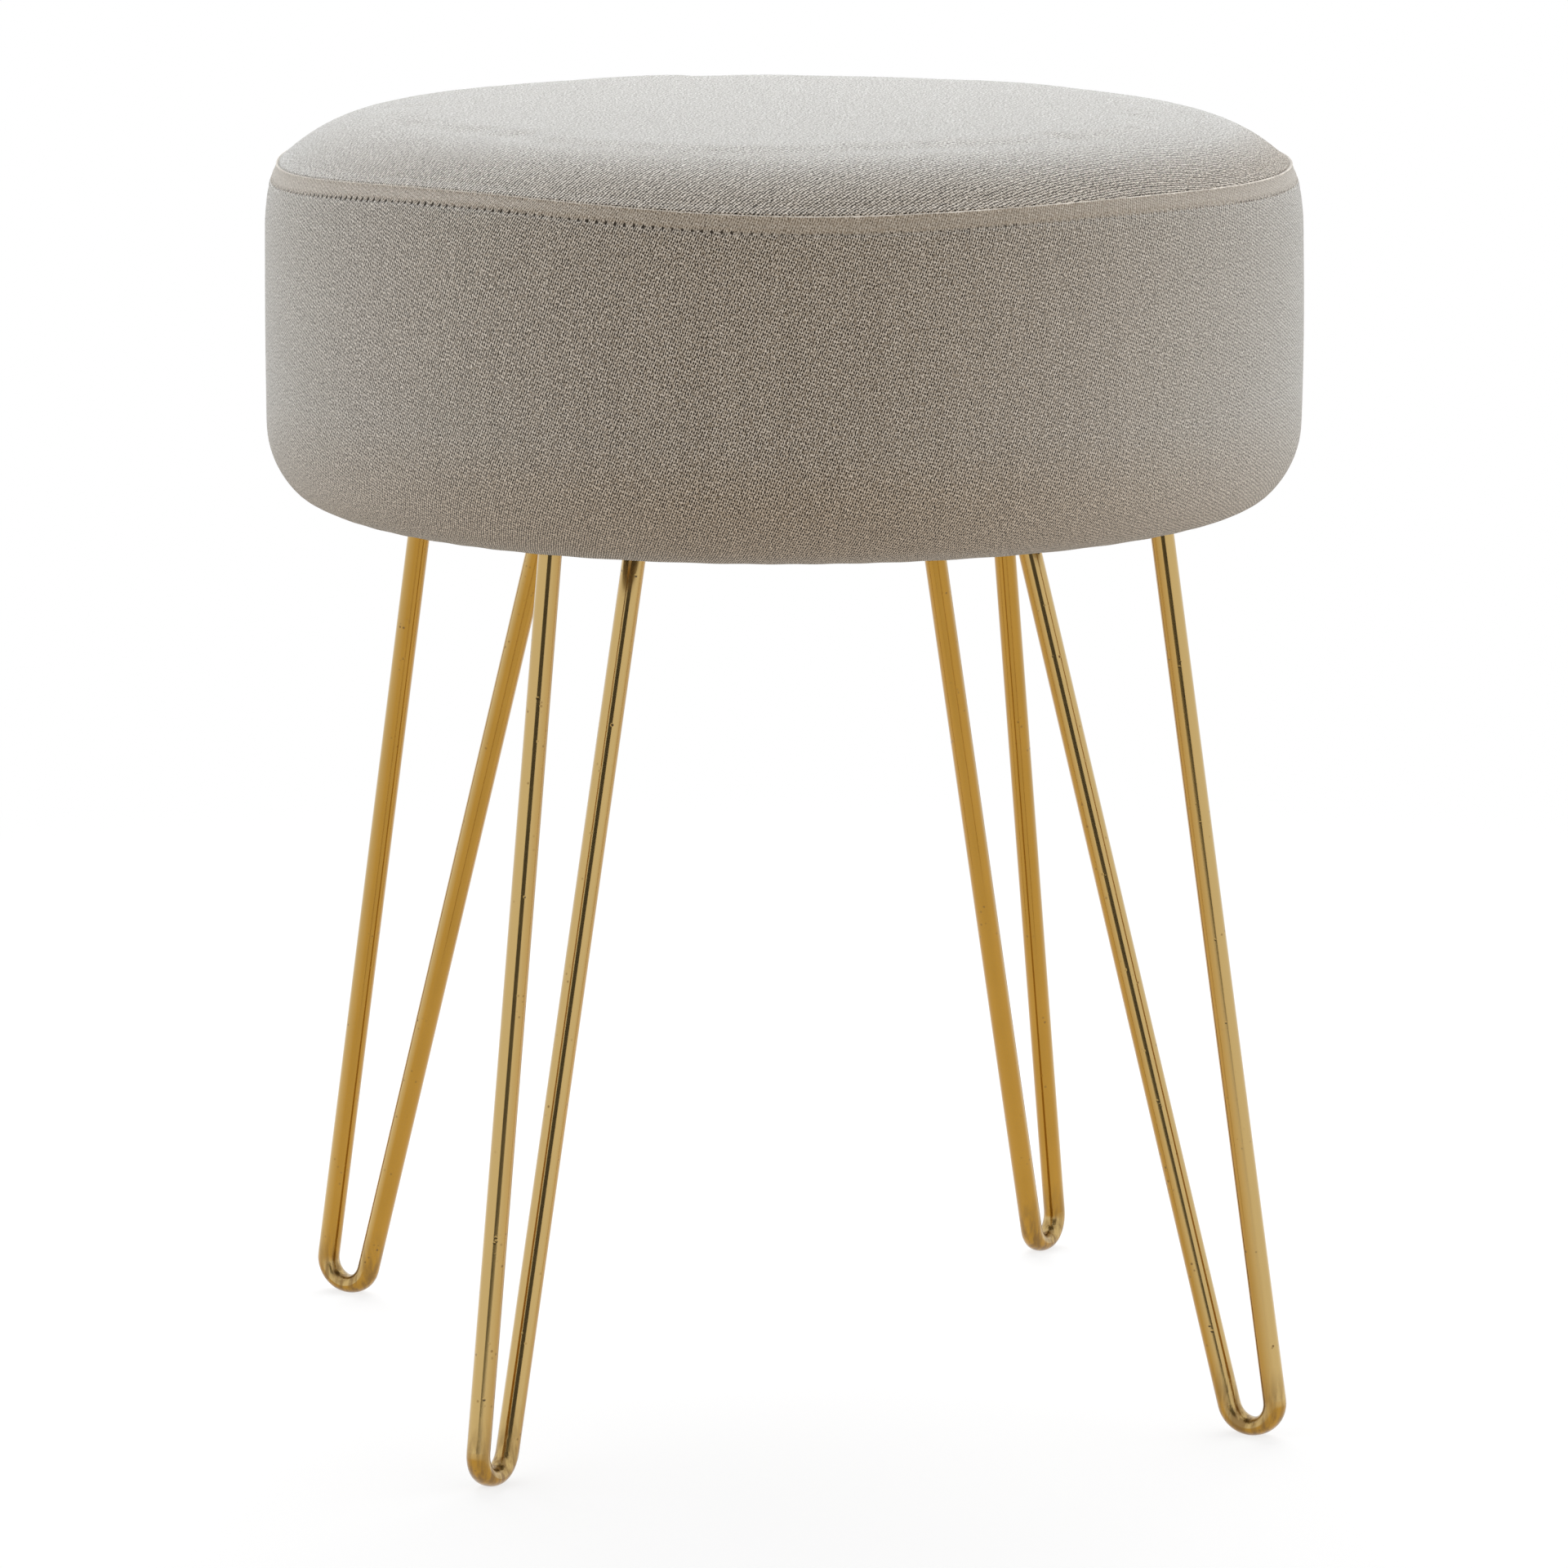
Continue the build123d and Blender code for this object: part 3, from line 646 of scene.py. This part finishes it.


# Hairpin legs: one 8 mm steel rod each, bent to a V, pressed at its foot and welded to a flat plate, all in
# one gold coat under a clear lacquer. The rod has fine pits and the press left brown streaks round each bend.
# The sides that look up are painted a paler gold, a painted highlight.
gold, tree, surface, place = material_of("gold_coat")
drift = noise(tree, place, 45.0, detail=4.0)
specks = ramp(tree, cells(tree, place, 420.0), 0.10, 0.26, 1.0, 0.0)
few = ramp(tree, noise(tree, place, 95.0, detail=2.0), 0.58, 0.68)
pits = calc(tree, "MULTIPLY", specks, few)
near_foot = ramp(tree, part_of(tree, place, "Z"), 0.007, 0.026, 1.0, 0.0)
streaks = ramp(tree, noise(tree, stretched(tree, place, (1.0, 1.0, 0.16)), 520.0, detail=3.0), 0.38, 0.60)
browned = calc(tree, "MULTIPLY", near_foot, streaks)
dark = calc(tree, "MAXIMUM", pits, calc(tree, "MULTIPLY", browned, 0.75))
# Painted highlight: the sides that look up are painted a paler gold.
looks_up = part_of(tree, put(tree, "ShaderNodeNewGeometry", {}).outputs["Normal"], "Z")
painted_highlight_share = ramp(tree, looks_up, -0.06, 0.12, 0.0, 0.6)
clean = mix(tree, drift, (0.38, 0.193, 0.012), (0.45, 0.232, 0.022))
with_painted_highlight = mix(tree, painted_highlight_share, clean, (0.62, 0.475, 0.210))
haze = ramp(tree, drift, 0.0, 1.0, 0.10, 0.18)
feed(tree, surface, {
    "Base Color": mix(tree, dark, with_painted_highlight, (0.19, 0.098, 0.018)),
    "Roughness": plus(tree, haze, near_foot, 0.15),
    "Normal": relief(tree, dark, strength=0.3, depth=0.0003, invert=True),
    "Metallic": 1.0,
    "Coat Weight": 0.6,
    "Coat Roughness": 0.06,
})
for side in LEG_SIDES:
    coat([f"hairpin_rod_{side}", f"leg_plate_{side}", f"leg_welds_{side}"], gold)
    coat([f"leg_bolts_{side}", f"leg_washers_{side}", f"tee_nuts_{side}"], zinc)
    for name in (f"hairpin_rod_{side}", f"leg_welds_{side}"):
        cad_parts[name].data.shade_smooth()


# Studio: a white paper floor that keeps the contact shadow, and a white surround. Both are white to the eye,
# in metal and through glass, and send less light back to the cloth.
FLOOR_HALF = 6


def backdrop_rays(tree):
    """One on rays that show the backdrop, straight, mirrored or through glass, and nought on the rest."""
    rays = put(tree, "ShaderNodeLightPath", {}).outputs
    mirrored = calc(tree, "MAXIMUM", rays["Is Glossy Ray"], rays["Is Transmission Ray"])
    return calc(tree, "MAXIMUM", rays["Is Camera Ray"], mirrored)


def sheet_of(name, corners, material):
    """One flat face with four corners."""
    mesh = bpy.data.meshes.new(name)
    mesh.from_pydata(corners, [], [(0, 1, 2, 3)])
    mesh.materials.append(material)
    return set_down(name, mesh)


paper, tree, surface, place = material_of("studio_paper")
shown = backdrop_rays(tree)
white = mix(tree, noise(tree, place, 3.0), (0.90, 0.90, 0.90), (0.93, 0.93, 0.93))
feed(tree, surface, {
    "Base Color": mix(tree, shown, (0.54, 0.50, 0.45), white),
    "Roughness": 0.9,
    "Specular IOR Level": 0.1,
})
glow = put(tree, "ShaderNodeEmission", {"Color": (1, 1, 1, 1), "Strength": 1.0})
from_stool = put(tree, "ShaderNodeVectorMath", {0: place}, operation="LENGTH").outputs["Value"]
clear = ramp(tree, from_stool, 0.30, 1.10, 0.76, 1.0, interpolation_type="SMOOTHSTEP")
share = calc(tree, "MULTIPLY", shown, clear)
blend = put(tree, "ShaderNodeMixShader", {0: share, 1: surface.outputs["BSDF"], 2: glow.outputs["Emission"]})
feed(tree, tree.nodes["Material Output"], {"Surface": blend.outputs["Shader"]})
floor_corners = [(x * FLOOR_HALF, y * FLOOR_HALF, 0) for x, y in ((-1, -1), (1, -1), (1, 1), (-1, 1))]
floor = sheet_of("studio_floor", floor_corners, paper)

world = bpy.data.worlds.new("studio")
bpy.context.scene.world = world
world.use_nodes = True
tree = world.node_tree
surround = ramp(tree, backdrop_rays(tree), 0.0, 1.0, 0.16, 1.0)
feed(tree, tree.nodes["Background"], {"Color": (1, 1, 1, 1), "Strength": surround})

# Light: two upright softboxes to the left and right of the camera, and a wide one above and behind the
# seat. No metal mirrors them. A dark cloth behind the camera, unseen by it, gives the rods a dark line.
BEARING = 31.28
AIM_HEIGHT = 0.25
DROP_BACK = 3.2
DROP_HALF = 1.05


def softbox(name, bearing, distance, height, width, tall, power):
    """Flat lamp facing the seat: bearing in degrees from the camera's side, to the right positive."""
    lamp = bpy.data.lights.new(name, "AREA")
    lamp.shape = "RECTANGLE"
    lamp.size = width
    lamp.size_y = tall
    lamp.energy = power
    piece = set_down(name, lamp)
    side = math.radians(BEARING + bearing)
    piece.location = (distance * math.sin(side), -distance * math.cos(side), height)
    piece.rotation_euler = (math.atan2(distance, height - AIM_HEIGHT), 0.0, side)
    piece.visible_glossy = False


softbox("softbox_left", bearing=-74.0, distance=1.7, height=0.9, width=3.8, tall=2.4, power=39.0)
softbox("softbox_right", bearing=72.0, distance=1.7, height=0.9, width=3.8, tall=2.4, power=41.0)
softbox("softbox_over", bearing=180.0, distance=1.4, height=1.8, width=2.4, tall=2.2, power=71.0)

felt, tree, surface, place = material_of("grey_felt")
feed(tree, surface, {
    "Base Color": mix(tree, noise(tree, place, 4.0), (0.10, 0.10, 0.10), (0.14, 0.14, 0.14)),
    "Roughness": 0.95,
})
rightwards = np.array([math.cos(math.radians(BEARING)), math.sin(math.radians(BEARING)), 0.0])
behind = DROP_BACK * np.array([rightwards[1], -rightwards[0], 0.0])
drop_corners = [
    tuple(behind + side * DROP_HALF * rightwards + (0.0, 0.0, height))
    for side, height in ((-1, 2.8), (1, 2.8), (1, 0.02), (-1, 0.02))
]
drop = sheet_of("studio_drop", drop_corners, felt)
drop.visible_camera = False
drop.visible_diffuse = False
drop.visible_shadow = False

# Camera: a long lens at the photograph's viewing angle, a little above the seat and looking down on it.
# Its place, tilt and lens were fitted to the photograph.
CAMERA_TILT = 10.70
camera_data = bpy.data.cameras.new("photo_camera")
camera_data.lens = 172.9
camera_data.sensor_width = 36.0
camera = set_down("photo_camera", camera_data)
camera.location = (1.3508, -2.2235, 0.7006)
camera.rotation_euler = (math.radians(90.0 - CAMERA_TILT), 0.0, math.radians(BEARING))
bpy.context.scene.camera = camera
bpy.context.scene.view_settings.view_transform = "Standard"

bpy.context.view_layer.update()
